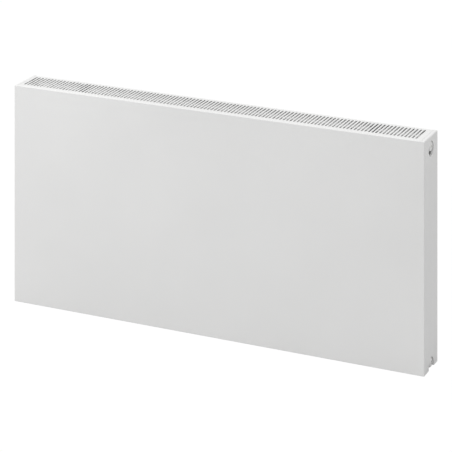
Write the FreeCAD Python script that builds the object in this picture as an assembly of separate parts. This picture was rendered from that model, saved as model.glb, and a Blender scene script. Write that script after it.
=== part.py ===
"""Flat-front steel panel radiator: two water panels with a convector each, in a slotted and covered casing.

Millimetres. X runs along the length, the room side faces -Y and the wall side +Y, and +Z is up.
The origin is the bottom centre of the casing's box.
"""
import FreeCAD, Part
import math
import os

V = FreeCAD.Vector

# Casing
LENGTH = 1200.0
HEIGHT = 600.0
DEPTH = 106.0
FRONT_Y = -DEPTH / 2
BACK_Y = DEPTH / 2
HALF = LENGTH / 2
CUT = 5.0  # how far a cutter runs past the faces that it cuts
TOUCH = 0.01  # lengths closer than this count as equal

# Front plate: a shallow tray with folded edges
PLATE_SHEET = 1.2
PLATE_EDGE = 5.0
PLATE_BEND = 2.5
SEAM_GAP = 0.6

# Side covers
COVER_SHEET = 0.8
COVER_FLANGE = 10.0
COVER_BEND = 3.5
COVER_FRONT_Y = FRONT_Y + PLATE_EDGE + SEAM_GAP
COVER_BOTTOM_Z = 1.0

# Grille
GRILLE_SHEET = 0.8
GRILLE_FRONT_FLANGE = 11.0
GRILLE_REAR_FLANGE = 24.0
GRILLE_BACK_BEND = 2.5
GRILLE_FRONT_BEND = 1.2
SLOT_COUNT = 116
SLOT_PITCH = 10.0
SLOT_WIDTH = 5.0
SLOT_LENGTH = 76.0
SLOT_MID_X = -4.0
SLOT_MID_Y = 4.0

# Water panels: each is two pressed sheets that meet at a seam plane
SHEET = 1.2
PANEL_HALF_LENGTH = 588.0
PANEL_HEIGHT = 587.0
PANEL_HALF_DEPTH = 6.0
FRONT_SEAM_Y = FRONT_Y + 9.2
REAR_SEAM_Y = BACK_Y - 13.0
CHANNEL_PITCH = 100.0 / 3
CHANNELS_EACH_SIDE = 17
CHANNEL_BASE = 25.0
CHANNEL_DRAFT = 4.5
HEADER_BASE = 33.0
HEADER_EDGE = 2.5
HEADER_EDGE_DRAFT = 1.5
CAVITY_INSET = 1.3

# Convectors
FIN_SHEET = 0.5
FIN_FLAT = 13.0
FIN_LEAN = 1.5  # how far a fold's side leans along X
FINS_EACH_SIDE = 15
FIN_BOTTOM_Z = 42.0
FIN_TOP_Z = 545.0
AIR_GAP_HALF = 4.0

# Port tees with the G 1/2 inner thread (the bore is the thread's minor diameter)
PORT_Y = 4.0
PORT_LOW_Z = 15.0
PORT_HIGH_Z = PANEL_HEIGHT - PORT_LOW_Z
TEE_RADIUS = 12.0
TEE_BORE_RADIUS = 9.0
COLLAR_WAY_RADIUS = 8.0
LEFT_TEE_X = -550.0
RIGHT_TEE_X = 566.0
PORT_MOUTH = 593.4
PORT_BORE_RADIUS = 9.32
PORT_THREAD = 15.0
COLLAR_RADIUS = 12.5

# Openings of the side covers, each with its edge drawn inwards to a lip
OPENING_RADIUS = 19.6
HIGH_OPENING_Z = 566.0
LOW_OPENING_Z = 9.2
LIP_DEPTH = 6.5

# Plugs of the right-hand ports
PLUG_GAP = 1.4
PLUG_RADIUS = 12.5
PLUG_RIM = 1.4
PLUG_FACE_RADIUS = 6.6
VENT_FACE_RADIUS = 8.6
SHANK_RADIUS = 9.28
SHANK_LENGTH = 11.0
SOCKET_ACROSS_FLATS = 10.0
SOCKET_DEPTH = 8.0
SEAL_RADIUS = 10.9
SEAL_SECTION = 0.68

# Air vent in the upper plug, measured from the casing's side plane inwards
RUNNING = 0.05
NOZZLE_RADIUS = 7.5
NOZZLE_LIP = 0.7
NOZZLE_LIP_LENGTH = 1.0
NOZZLE_DEPTH = 5.0
NOZZLE_HOLE = 3.9
OUTLET_WIDTH = 2.0
SPINDLE_RADIUS = 3.5
SPINDLE_TOP = 5.4
SPINDLE_BOTTOM = 10.5
SPINDLE_TIP = 1.8
SEAT_DEPTH = 12.4
SEAT_RADIUS = 1.5
SQUARE = 5.0
SQUARE_RECESS = 0.6
GROOVE_WIDTH = 1.2
GROOVE_START = 6.4
GROOVE_RADIUS = 2.6
SEAL_PLAY = 0.02

# Hanging lugs on the rear panel
LUG_SHEET = 2.5
LUG_X = 13.5 * CHANNEL_PITCH
LUG_HALF_WIDTH = 13.0
LUG_FOOT = 10.0
LUG_HEIGHT = 40.0
LUG_LOW_Z = 90.0
LUG_HIGH_Z = 507.0

# Spring clips
CLIP_SHEET = 0.6
CLIP_WIDTH = 20.0
CLIP_PLAY = 0.05
GRILLE_CLIP_X = 430.0
GRILLE_CLIP_LEG = 30.0
SEAM_GRIP = 2.0
REST_WIDTH = 8.0
COVER_CLIP_ZS = (150.0, 450.0)
COVER_CLIP_GRIP = 7.0

# Adhesive strips behind the front plate
STRIP_WIDTH = 10.0
STRIP_CHANNELS = (-15, -9, -3, 3, 9, 15)
STRIP_MARGIN = 60.0


def box(x0, x1, y0, y1, z0, z1):
    """An upright box between two corners."""
    return Part.makeBox(x1 - x0, y1 - y0, z1 - z0, V(x0, y0, z0))


def rod(radius, x0, x1, y, z):
    """A round bar along X."""
    return Part.makeCylinder(radius, x1 - x0, V(x0, y, z), V(1, 0, 0))


def flipped(shape):
    """The mirror image on the other end of the radiator."""
    return shape.mirror(V(0, 0, 0), V(1, 0, 0))


def rounded(shape, radius, test):
    """The shape with a fillet on each straight edge that passes the test."""
    edges = [edge for edge in shape.Edges if test(edge.CenterOfMass)]
    return shape.makeFillet(radius, edges)


def near(value, target):
    return abs(value - target) < TOUCH


def ribbon(points, thickness):
    """A face: the line through the points, thickened to its left, with mitred corners."""
    def unit(a, b):
        return (b - a).normalize()

    side = []
    for i, point in enumerate(points):
        before = unit(points[max(i - 1, 0)], points[max(i, 1)])
        after = unit(points[min(i, len(points) - 2)], points[min(i + 1, len(points) - 1)])
        turn = V(before.x + after.x, before.y + after.y, before.z + after.z).normalize()
        left = V(-turn.y, turn.x, 0)
        square_on = V(-before.y, before.x, 0)
        side.append(point + left * (thickness / left.dot(square_on)))
    outline = list(points) + side[::-1]
    return Part.Face(Part.makePolygon(outline + [outline[0]]))


# ---- casing -------------------------------------------------------------------------------------

def make_front_plate():
    outer = box(-HALF, HALF, FRONT_Y, FRONT_Y + PLATE_EDGE, 0, HEIGHT)
    on_front = lambda c: near(c.y, FRONT_Y)
    outer = rounded(outer, PLATE_BEND, on_front)
    t = PLATE_SHEET
    inner = box(-HALF + t, HALF - t, FRONT_Y + t, FRONT_Y + PLATE_EDGE + CUT, t, HEIGHT - t)
    inner = rounded(inner, PLATE_BEND - t, lambda c: near(c.y, FRONT_Y + t))
    return outer.cut(inner)


def make_adhesive_strips():
    crest = FRONT_SEAM_Y - PANEL_HALF_DEPTH
    strips = []
    for channel in STRIP_CHANNELS:
        x = channel * CHANNEL_PITCH
        strips.append(box(x - STRIP_WIDTH / 2, x + STRIP_WIDTH / 2, FRONT_Y + PLATE_SHEET, crest,
                          STRIP_MARGIN, PANEL_HEIGHT - STRIP_MARGIN))
    return Part.makeCompound(strips)


def cover_shell():
    """The right-hand cover before its openings: a side web with front, top and rear flanges."""
    x0 = HALF - COVER_FLANGE
    t = COVER_SHEET
    outer = box(x0, HALF, COVER_FRONT_Y, BACK_Y, COVER_BOTTOM_Z, HEIGHT)
    edges = lambda c: near(c.x, HALF) and not near(c.z, COVER_BOTTOM_Z) and not near(c.y, COVER_FRONT_Y)
    outer = rounded(outer, COVER_BEND, edges)
    inner = box(x0 - CUT, HALF - t, COVER_FRONT_Y + t, BACK_Y - t, COVER_BOTTOM_Z - CUT, HEIGHT - t)
    edges = lambda c: (near(c.x, HALF - t) and not near(c.z, COVER_BOTTOM_Z - CUT)
                       and not near(c.y, COVER_FRONT_Y + t))
    inner = rounded(inner, COVER_BEND - t, edges)
    return outer.cut(inner)


def openings(radius, x0, x1, z0):
    """The round upper opening and the lower one, which is open down to z0, as solids."""
    high = rod(radius, x0, x1, PORT_Y, HIGH_OPENING_Z)
    low = rod(radius, x0, x1, PORT_Y, LOW_OPENING_Z)
    mouth = box(x0, x1, PORT_Y - radius, PORT_Y + radius, min(z0, LOW_OPENING_Z - radius), LOW_OPENING_Z)
    below = box(x0, x1, PORT_Y - 2 * radius, PORT_Y + 2 * radius, LOW_OPENING_Z - 2 * radius, z0)
    return high.fuse([low, mouth]).removeSplitter().cut(below)


def make_right_side_cover():
    lips = openings(OPENING_RADIUS + COVER_SHEET, HALF - LIP_DEPTH, HALF - COVER_SHEET, COVER_BOTTOM_Z)
    way = openings(OPENING_RADIUS, HALF - COVER_FLANGE, HALF + CUT, COVER_BOTTOM_Z - CUT)
    return cover_shell().fuse(lips).cut(way).removeSplitter()


def make_grille():
    half = HALF - COVER_FLANGE - SEAM_GAP
    t = GRILLE_SHEET
    bottom = HEIGHT - GRILLE_REAR_FLANGE
    outer = box(-half, half, COVER_FRONT_Y, BACK_Y, bottom, HEIGHT)
    inner = box(-half - CUT, half + CUT, COVER_FRONT_Y + t, BACK_Y - t, bottom - CUT, HEIGHT - t)
    front_bottom = HEIGHT - GRILLE_FRONT_FLANGE
    below_front = box(-half - CUT, half + CUT, COVER_FRONT_Y - CUT, 0, bottom - CUT, front_bottom)
    for bend, outer_y, inward in ((GRILLE_FRONT_BEND, COVER_FRONT_Y, t), (GRILLE_BACK_BEND, BACK_Y, -t)):
        outer = rounded(outer, bend, lambda c: near(c.z, HEIGHT) and near(c.y, outer_y))
        inner = rounded(inner, bend - t, lambda c: near(c.z, HEIGHT - t) and near(c.y, outer_y + inward))
    return outer.cut(inner).cut(below_front).cut(Part.makeCompound(grille_slots()))


def grille_slots():
    """One cutter per slot, with round ends."""
    radius = SLOT_WIDTH / 2
    straight = SLOT_LENGTH / 2 - radius
    first = SLOT_MID_X - (SLOT_COUNT - 1) * SLOT_PITCH / 2
    z0 = HEIGHT - GRILLE_SHEET - CUT
    depth = GRILLE_SHEET + 2 * CUT
    slots = []
    for i in range(SLOT_COUNT):
        x = first + i * SLOT_PITCH
        front = V(x, SLOT_MID_Y - straight, z0)
        back = V(x, SLOT_MID_Y + straight, z0)
        lines = [Part.makeLine(front + V(radius, 0, 0), back + V(radius, 0, 0)),
                 Part.makeLine(back - V(radius, 0, 0), front - V(radius, 0, 0))]
        ends = [Part.Arc(back + V(radius, 0, 0), back + V(0, radius, 0), back - V(radius, 0, 0)),
                Part.Arc(front - V(radius, 0, 0), front - V(0, radius, 0), front + V(radius, 0, 0))]
        wire = Part.Wire([lines[0], ends[0].toShape(), lines[1], ends[1].toShape()])
        slots.append(Part.Face(wire).extrude(V(0, 0, depth)))
    return slots


# ---- water panels -------------------------------------------------------------------------------

def frustum(x0, x1, z0, z1, height, drafts):
    """A block that stands on y = 0 towards -Y, its four sides leaning in by (x, low z, high z) drafts."""
    dx, low, high = drafts

    def rectangle(a0, a1, b0, b1, y):
        corners = [V(a0, y, b0), V(a1, y, b0), V(a1, y, b1), V(a0, y, b1)]
        return Part.makePolygon(corners + [corners[0]])

    base = rectangle(x0, x1, z0, z1, 0)
    crest = rectangle(x0 + dx, x1 - dx, z0 + low, z1 - high, -height)
    return Part.makeLoft([base, crest], True, True)


def water_space(inset, height):
    """Headers and channels as one body: the pressing's outside (inset 0) or its inside."""
    draft = CHANNEL_DRAFT
    edge = HEADER_EDGE + inset
    header = HEADER_BASE - 2 * inset
    half = CHANNELS_EACH_SIDE * CHANNEL_PITCH + CHANNEL_BASE / 2 - inset
    low_drafts = (draft, HEADER_EDGE_DRAFT, draft)
    high_drafts = (draft, draft, HEADER_EDGE_DRAFT)
    top = PANEL_HEIGHT - edge
    low = frustum(-half, half, edge, edge + header, height, low_drafts)
    high = frustum(-half, half, top - header, top, height, high_drafts)
    channels = []
    wide = CHANNEL_BASE / 2 - inset
    end = edge + header / 2
    for i in range(-CHANNELS_EACH_SIDE, CHANNELS_EACH_SIDE + 1):
        x = i * CHANNEL_PITCH
        channels.append(frustum(x - wide, x + wide, end, PANEL_HEIGHT - end, height, (draft, 0, 0)))
    return low.fuse([high] + channels)


def pressed_sheet():
    """One sheet with its seam face on y = 0 and its channels towards -Y."""
    flat = box(-PANEL_HALF_LENGTH, PANEL_HALF_LENGTH, -SHEET, 0, 0, PANEL_HEIGHT)
    outside = water_space(0, PANEL_HALF_DEPTH)
    inside = water_space(CAVITY_INSET, PANEL_HALF_DEPTH - SHEET)
    return flat.fuse(outside).cut(inside).removeSplitter()


def facing_back(sheet):
    return sheet.mirror(V(0, 0, 0), V(0, 1, 0))


def moved_y(shape, y):
    copy = shape.copy()
    copy.translate(V(0, y, 0))
    return copy


def port_places():
    return [(x, z) for x in (LEFT_TEE_X, RIGHT_TEE_X) for z in (PORT_LOW_Z, PORT_HIGH_Z)]


def with_water_holes(sheet):
    """The sheet with a hole at each port tee."""
    reach = PANEL_HALF_DEPTH + CUT
    holes = []
    for x, z in port_places():
        holes.append(Part.makeCylinder(TEE_BORE_RADIUS, 2 * reach, V(x, -reach, z), V(0, 1, 0)))
    return sheet.cut(Part.makeCompound(holes))


# ---- convectors ---------------------------------------------------------------------------------

def make_convector(root_y, tip_y):
    """A folded sheet: flats welded on the channel crests at root_y, folds reaching tip_y."""
    inward = 1 if tip_y > root_y else -1
    root = root_y + (0 if inward > 0 else -FIN_SHEET)
    tip = tip_y - (FIN_SHEET if inward > 0 else 0)
    half = FIN_FLAT / 2
    points = []
    for i in range(-FINS_EACH_SIDE, FINS_EACH_SIDE + 1):
        x = i * CHANNEL_PITCH
        points += [V(x - half, root, FIN_BOTTOM_Z), V(x + half, root, FIN_BOTTOM_Z)]
        if i < FINS_EACH_SIDE:
            fold = x + CHANNEL_PITCH / 2
            reach = CHANNEL_PITCH / 2 - half - FIN_LEAN
            points += [V(fold - reach, tip, FIN_BOTTOM_Z), V(fold + reach, tip, FIN_BOTTOM_Z)]
    return ribbon(points, FIN_SHEET).extrude(V(0, 0, FIN_TOP_Z - FIN_BOTTOM_Z))


# ---- port tees ----------------------------------------------------------------------------------

def make_tee(x, z):
    """A tube between the panels with a threaded collar to the nearer end of the radiator."""
    outward = 1 if x > 0 else -1
    front = FRONT_SEAM_Y + PANEL_HALF_DEPTH
    back = REAR_SEAM_Y - PANEL_HALF_DEPTH
    tube = Part.makeCylinder(TEE_RADIUS, back - front, V(x, front, z), V(0, 1, 0))
    water = Part.makeCylinder(TEE_BORE_RADIUS, back - front, V(x, front, z), V(0, 1, 0))
    mouth = outward * PORT_MOUTH
    thread_end = mouth - outward * PORT_THREAD
    collar = rod(COLLAR_RADIUS, min(x, mouth), max(x, mouth), PORT_Y, z)
    thread = rod(PORT_BORE_RADIUS, min(thread_end, mouth), max(thread_end, mouth), PORT_Y, z)
    way = rod(COLLAR_WAY_RADIUS, min(x, mouth), max(x, mouth), PORT_Y, z)
    return tube.fuse(collar).cut(water.fuse([thread, way])).removeSplitter()


# ---- plugs and air vent -------------------------------------------------------------------------

def plug_blank(face_radius):
    """Plug on y = z = 0: a shank, and a domed head whose flat face is flush with the casing's side plane."""
    under = PORT_MOUTH + PLUG_GAP
    rim = under + PLUG_RIM
    rise = HALF - rim
    spread = PLUG_RADIUS - face_radius
    round_radius = (rise ** 2 + spread ** 2) / (2 * rise)
    half_turn = math.atan2(spread, round_radius - rise) / 2
    bulge = V(HALF - round_radius * (1 - math.cos(half_turn)),
              face_radius + round_radius * math.sin(half_turn), 0)
    inner_end = PORT_MOUTH - SHANK_LENGTH
    start = V(inner_end, 0, 0)
    points = [start, V(inner_end, SHANK_RADIUS, 0), V(under, SHANK_RADIUS, 0),
              V(under, PLUG_RADIUS, 0), V(rim, PLUG_RADIUS, 0)]
    face = V(HALF, face_radius, 0)
    edges = [Part.makeLine(a, b) for a, b in zip(points, points[1:])]
    edges.append(Part.Arc(points[-1], bulge, face).toShape())
    edges.append(Part.makeLine(face, V(HALF, 0, 0)))
    edges.append(Part.makeLine(V(HALF, 0, 0), start))
    return Part.Face(Part.Wire(edges)).revolve(V(0, 0, 0), V(1, 0, 0), 360)


def placed(shape, z):
    shape.translate(V(0, PORT_Y, z))
    return shape


def hexagon(across_flats, x0, x1):
    radius = across_flats / math.sqrt(3)
    corners = []
    for i in range(7):
        angle = math.radians(60 * i)
        corners.append(V(x0, radius * math.cos(angle), radius * math.sin(angle)))
    return Part.Face(Part.makePolygon(corners)).extrude(V(x1 - x0, 0, 0))


def make_blanking_plug():
    socket = hexagon(SOCKET_ACROSS_FLATS, HALF - SOCKET_DEPTH, HALF + CUT)
    return placed(plug_blank(PLUG_FACE_RADIUS).cut(socket), PORT_LOW_Z)


def make_plug_seal(z):
    """The ring between a plug's head and the port's mouth, lying on the head's side of the gap."""
    ring = Part.makeTorus(SEAL_RADIUS, SEAL_SECTION, V(PORT_MOUTH + PLUG_GAP / 2, 0, 0), V(1, 0, 0))
    return placed(ring, z)


def make_vent_plug():
    lip = NOZZLE_RADIUS + NOZZLE_LIP + RUNNING
    bottom = HALF - NOZZLE_DEPTH - RUNNING
    groove_top = bottom + NOZZLE_LIP_LENGTH + 2 * RUNNING
    inner_end = PORT_MOUTH - SHANK_LENGTH
    hollow = rod(NOZZLE_RADIUS + RUNNING, bottom, HALF + CUT, 0, 0)
    hollow = hollow.fuse([
        rod(lip, bottom, groove_top, 0, 0),
        rod(SPINDLE_RADIUS + RUNNING, HALF - SEAT_DEPTH, HALF, 0, 0),
        rod(SEAT_RADIUS, inner_end - CUT, HALF, 0, 0)])
    return placed(plug_blank(VENT_FACE_RADIUS).cut(hollow), PORT_HIGH_Z)


def make_vent_nozzle():
    """A ring that snaps into the plug, with the outlet in its face pointing down at rest."""
    x0 = HALF - NOZZLE_DEPTH
    face = HALF - SQUARE_RECESS / 2
    ring = rod(NOZZLE_RADIUS, x0, face, 0, 0)
    lip = rod(NOZZLE_RADIUS + NOZZLE_LIP, x0, x0 + NOZZLE_LIP_LENGTH, 0, 0)
    hole = rod(NOZZLE_HOLE, x0 - CUT, face + CUT, 0, 0)
    half = OUTLET_WIDTH / 2
    outlet = box(face - OUTLET_WIDTH, face + CUT, -half, half, -NOZZLE_RADIUS - CUT, 0)
    ring = ring.fuse(lip).removeSplitter().cut(hole.fuse(outlet))
    return placed(ring, PORT_HIGH_Z)


def make_vent_spindle():
    """Screw with a cone tip, a seal groove and a square end for the key."""
    top = HALF - SPINDLE_TOP
    bottom = HALF - SPINDLE_BOTTOM
    body = rod(SPINDLE_RADIUS, bottom, top, 0, 0)
    cone = Part.makeCone(SEAT_RADIUS - RUNNING, SPINDLE_RADIUS, SPINDLE_TIP, V(bottom - SPINDLE_TIP, 0, 0),
                         V(1, 0, 0))
    square = box(top, HALF - SQUARE_RECESS, -SQUARE / 2, SQUARE / 2, -SQUARE / 2, SQUARE / 2)
    groove_x = HALF - GROOVE_START
    groove = rod(SPINDLE_RADIUS + CUT, groove_x - GROOVE_WIDTH, groove_x, 0, 0)
    groove = groove.cut(rod(GROOVE_RADIUS, groove_x - GROOVE_WIDTH, groove_x, 0, 0))
    return placed(body.fuse([cone, square]).cut(groove), PORT_HIGH_Z)


def make_spindle_seal():
    section = (SPINDLE_RADIUS - GROOVE_RADIUS) / 2
    x = HALF - GROOVE_START - GROOVE_WIDTH / 2
    ring = Part.makeTorus(GROOVE_RADIUS + section + SEAL_PLAY, section, V(x, 0, 0), V(1, 0, 0))
    return placed(ring, PORT_HIGH_Z)


# ---- lugs and clips -----------------------------------------------------------------------------

def make_hanging_lugs():
    """Hat-shaped straps: a bracket's finger goes up through the pocket behind each."""
    crest = REAR_SEAM_Y + PANEL_HALF_DEPTH
    inner = BACK_Y - LUG_SHEET
    foot = LUG_HALF_WIDTH + LUG_FOOT
    lugs = []
    for x in (-LUG_X, LUG_X):
        for z in (LUG_LOW_Z, LUG_HIGH_Z):
            z0 = z - LUG_HEIGHT / 2
            points = [V(x - foot, crest, z0), V(x - LUG_HALF_WIDTH, crest, z0),
                      V(x - LUG_HALF_WIDTH, inner, z0), V(x + LUG_HALF_WIDTH, inner, z0),
                      V(x + LUG_HALF_WIDTH, crest, z0), V(x + foot, crest, z0)]
            lugs.append(ribbon(points, LUG_SHEET).extrude(V(0, 0, LUG_HEIGHT)))
    return Part.makeCompound(lugs)


def grille_clip(x, seam_y):
    """A saddle under the grille: it grips the panel's top seam, rests on it, and has one long spring leg."""
    roof = HEIGHT - GRILLE_SHEET
    t = CLIP_SHEET
    inward = 1 if seam_y < 0 else -1
    x0 = x - CLIP_WIDTH / 2
    x1 = x + CLIP_WIDTH / 2
    long_leg = seam_y + inward * (PANEL_HALF_DEPTH + CLIP_PLAY)
    short_leg = seam_y - inward * (SHEET + CLIP_PLAY)
    long_outside = long_leg + inward * t
    short_outside = short_leg - inward * t

    def strip(y0, y1, z0, z1):
        return box(x0, x1, min(y0, y1), max(y0, y1), z0, z1)

    pieces = [strip(short_leg, short_outside, PANEL_HEIGHT - SEAM_GRIP, roof),
              strip(short_outside, long_outside, roof - t, roof),
              box(x - REST_WIDTH / 2, x + REST_WIDTH / 2, seam_y - SHEET, seam_y + SHEET,
                  PANEL_HEIGHT + CLIP_PLAY, roof)]
    spring = strip(long_leg, long_outside, PANEL_HEIGHT - GRILLE_CLIP_LEG, roof)
    return spring.fuse(pieces).removeSplitter()


def make_grille_clips():
    places = [(x, y) for x in (-GRILLE_CLIP_X, GRILLE_CLIP_X) for y in (FRONT_SEAM_Y, REAR_SEAM_Y)]
    return Part.makeCompound([grille_clip(x, y) for x, y in places])


def cover_clip(seam_y, z):
    """A hairpin on the right-hand cover's web that grips the panel's vertical seam."""
    web = HALF - COVER_SHEET
    tip = PANEL_HALF_LENGTH - COVER_CLIP_GRIP
    reach = SHEET + CLIP_PLAY
    t = CLIP_SHEET
    z0 = z - CLIP_WIDTH / 2
    z1 = z + CLIP_WIDTH / 2
    back = box(web - t, web, seam_y - reach - t, seam_y + reach + t, z0, z1)
    legs = [box(tip, web, seam_y - reach - t, seam_y - reach, z0, z1),
            box(tip, web, seam_y + reach, seam_y + reach + t, z0, z1)]
    return back.fuse(legs).removeSplitter()


def make_right_cover_clips():
    clips = [cover_clip(y, z) for y in (FRONT_SEAM_Y, REAR_SEAM_Y) for z in COVER_CLIP_ZS]
    return Part.makeCompound(clips)


def build():
    sheet = pressed_sheet()
    sheet_back = facing_back(sheet)
    right_cover = make_right_side_cover()
    right_clips = make_right_cover_clips()
    front_crest = FRONT_SEAM_Y + PANEL_HALF_DEPTH
    rear_crest = REAR_SEAM_Y - PANEL_HALF_DEPTH
    return {
        "front_plate": make_front_plate(),
        "adhesive_strips": make_adhesive_strips(),
        "top_grille": make_grille(),
        "grille_clips": make_grille_clips(),
        "right_side_cover": right_cover,
        "right_cover_clips": right_clips,
        "left_side_cover": flipped(right_cover),
        "left_cover_clips": flipped(right_clips),
        "front_panel_outer_sheet": moved_y(sheet, FRONT_SEAM_Y),
        "front_panel_inner_sheet": moved_y(with_water_holes(sheet_back), FRONT_SEAM_Y),
        "rear_panel_inner_sheet": moved_y(with_water_holes(sheet), REAR_SEAM_Y),
        "rear_panel_outer_sheet": moved_y(sheet_back, REAR_SEAM_Y),
        "front_convector": make_convector(front_crest, -AIR_GAP_HALF),
        "rear_convector": make_convector(rear_crest, AIR_GAP_HALF),
        "port_tee_top_left": make_tee(LEFT_TEE_X, PORT_HIGH_Z),
        "port_tee_bottom_left": make_tee(LEFT_TEE_X, PORT_LOW_Z),
        "port_tee_top_right": make_tee(RIGHT_TEE_X, PORT_HIGH_Z),
        "port_tee_bottom_right": make_tee(RIGHT_TEE_X, PORT_LOW_Z),
        "hanging_lugs": make_hanging_lugs(),
        "blanking_plug": make_blanking_plug(),
        "blanking_plug_seal": make_plug_seal(PORT_LOW_Z),
        "vent_plug": make_vent_plug(),
        "vent_plug_seal": make_plug_seal(PORT_HIGH_Z),
        "vent_nozzle": make_vent_nozzle(),
        "vent_spindle": make_vent_spindle(),
        "vent_spindle_seal": make_spindle_seal(),
    }


def main():
    os.makedirs("parts", exist_ok=True)
    for name, shape in build().items():
        shape.exportStep("parts/" + name + ".step")


main()
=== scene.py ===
"""Looks for the flat-front panel radiator: lacquered sheet metal, plugs and an air vent.

Metres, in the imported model's frame. Sizes below are millimetres times MM where that reads better.
"""

import math
import random

import bmesh
import bpy
from mathutils import Matrix, Vector


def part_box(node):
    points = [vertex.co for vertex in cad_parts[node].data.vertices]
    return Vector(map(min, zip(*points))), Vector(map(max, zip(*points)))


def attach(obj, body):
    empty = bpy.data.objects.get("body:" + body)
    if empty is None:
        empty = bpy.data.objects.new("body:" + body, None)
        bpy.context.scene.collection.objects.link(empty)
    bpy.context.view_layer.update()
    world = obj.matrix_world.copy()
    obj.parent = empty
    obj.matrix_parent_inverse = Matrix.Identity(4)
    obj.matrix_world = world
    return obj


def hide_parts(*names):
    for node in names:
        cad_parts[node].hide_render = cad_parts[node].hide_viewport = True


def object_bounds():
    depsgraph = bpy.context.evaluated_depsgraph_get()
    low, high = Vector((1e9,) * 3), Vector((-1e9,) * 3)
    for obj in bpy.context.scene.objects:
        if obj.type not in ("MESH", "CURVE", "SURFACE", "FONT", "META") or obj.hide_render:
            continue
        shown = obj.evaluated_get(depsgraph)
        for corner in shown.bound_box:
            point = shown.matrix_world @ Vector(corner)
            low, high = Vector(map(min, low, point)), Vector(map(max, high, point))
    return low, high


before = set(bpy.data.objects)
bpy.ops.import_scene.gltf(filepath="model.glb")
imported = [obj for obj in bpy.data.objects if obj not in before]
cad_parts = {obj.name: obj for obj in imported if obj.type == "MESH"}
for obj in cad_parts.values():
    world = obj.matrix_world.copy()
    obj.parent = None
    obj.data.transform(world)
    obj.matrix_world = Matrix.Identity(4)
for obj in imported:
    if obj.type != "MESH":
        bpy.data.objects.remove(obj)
cad_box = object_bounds()

MM = 0.001
random.seed(11)

# ---- driving dimensions in millimetres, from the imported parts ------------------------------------

def box_mm(node):
    low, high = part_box(node)
    return low / MM, high / MM


def middle(node):
    low, high = box_mm(node)
    return (low + high) / 2


PLATE_LOW, PLATE_HIGH = box_mm("front_plate")
COVER_LOW, COVER_HIGH = box_mm("right_side_cover")
GRILLE_LOW, GRILLE_HIGH = box_mm("top_grille")
INNER_LOW, INNER_HIGH = box_mm("front_panel_inner_sheet")
BACK_LOW, _ = box_mm("rear_panel_outer_sheet")
FRONT_FIN_LOW, FRONT_FIN_HIGH = box_mm("front_convector")
REAR_FIN_LOW, REAR_FIN_HIGH = box_mm("rear_convector")
TEE_LOW, TEE_HIGH = box_mm("port_tee_top_left")
RIGHT_TEE_LOW, _ = box_mm("port_tee_top_right")
SIDE_X = COVER_HIGH.x
TOP_Z = GRILLE_HIGH.z
PORT_Y = middle("vent_nozzle").y
HIGH_Z = middle("vent_nozzle").z
LOW_Z = middle("port_tee_bottom_left").z
FRONT_SEAM_Y = INNER_LOW.y
REAR_SEAM_Y = BACK_LOW.y


# ---- materials -----------------------------------------------------------------------------------

class Pattern:
    """A material under construction: its nodes, with short calls for the few kinds that are used."""

    def __init__(self, name):
        self.material = bpy.data.materials.new(name)
        self.material.use_nodes = True
        self.nodes = self.material.node_tree.nodes
        self.links = self.material.node_tree.links
        self.shader = self.nodes["Principled BSDF"]
        self.place = self.nodes.new("ShaderNodeTexCoord").outputs["Object"]

    def link(self, source, target):
        self.links.new(source, target)

    def noise(self, scale, detail=2.0, stretch=(1, 1, 1)):
        mapping = self.nodes.new("ShaderNodeMapping")
        mapping.inputs["Scale"].default_value = stretch
        self.link(self.place, mapping.inputs["Vector"])
        texture = self.nodes.new("ShaderNodeTexNoise")
        texture.inputs["Scale"].default_value = scale
        texture.inputs["Detail"].default_value = detail
        self.link(mapping.outputs["Vector"], texture.inputs["Vector"])
        return texture.outputs["Fac"]

    def rings(self, centre, scale):
        """Fine turning marks round an axis along X."""
        mapping = self.nodes.new("ShaderNodeMapping")
        mapping.inputs["Location"].default_value = (0, -centre[1], -centre[2])
        self.link(self.place, mapping.inputs["Vector"])
        texture = self.nodes.new("ShaderNodeTexWave")
        texture.wave_type = "RINGS"
        texture.rings_direction = "X"
        texture.inputs["Scale"].default_value = scale
        texture.inputs["Distortion"].default_value = 0.3
        self.link(mapping.outputs["Vector"], texture.inputs["Vector"])
        return texture.outputs["Fac"]

    def spread(self, source, low, high):
        """The source's middle range mapped to low..high."""
        ramp = self.nodes.new("ShaderNodeMapRange")
        ramp.inputs["From Min"].default_value = 0.3
        ramp.inputs["From Max"].default_value = 0.7
        ramp.inputs["To Min"].default_value = low
        ramp.inputs["To Max"].default_value = high
        self.link(source, ramp.inputs["Value"])
        return ramp.outputs["Result"]

    def colours(self, source, low, high):
        mix = self.nodes.new("ShaderNodeMix")
        mix.data_type = "RGBA"
        mix.inputs["A"].default_value = (*low, 1)
        mix.inputs["B"].default_value = (*high, 1)
        self.link(self.spread(source, 0, 1), mix.inputs["Factor"])
        self.link(mix.outputs["Result"], self.shader.inputs["Base Color"])

    def roughness(self, source, low, high):
        self.link(self.spread(source, low, high), self.shader.inputs["Roughness"])

    def bumps(self, *layers):
        """Layers of (source, height in metres, strength), one on the other."""
        below = None
        for source, height, strength in layers:
            bump = self.nodes.new("ShaderNodeBump")
            bump.inputs["Distance"].default_value = height
            bump.inputs["Strength"].default_value = strength
            self.link(source, bump.inputs["Height"])
            if below:
                self.link(below, bump.inputs["Normal"])
            below = bump.outputs["Normal"]
        self.link(below, self.shader.inputs["Normal"])


def white_lacquer():
    paint = Pattern("white_lacquer")
    paint.colours(paint.noise(2.2, 3), (0.79, 0.79, 0.785), (0.83, 0.83, 0.825))
    paint.roughness(paint.noise(9, 4), 0.33, 0.43)
    paint.bumps((paint.noise(230, 1.5), 0.12 * MM, 0.35), (paint.noise(1400, 1), 0.02 * MM, 0.3))
    return paint.material


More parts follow.
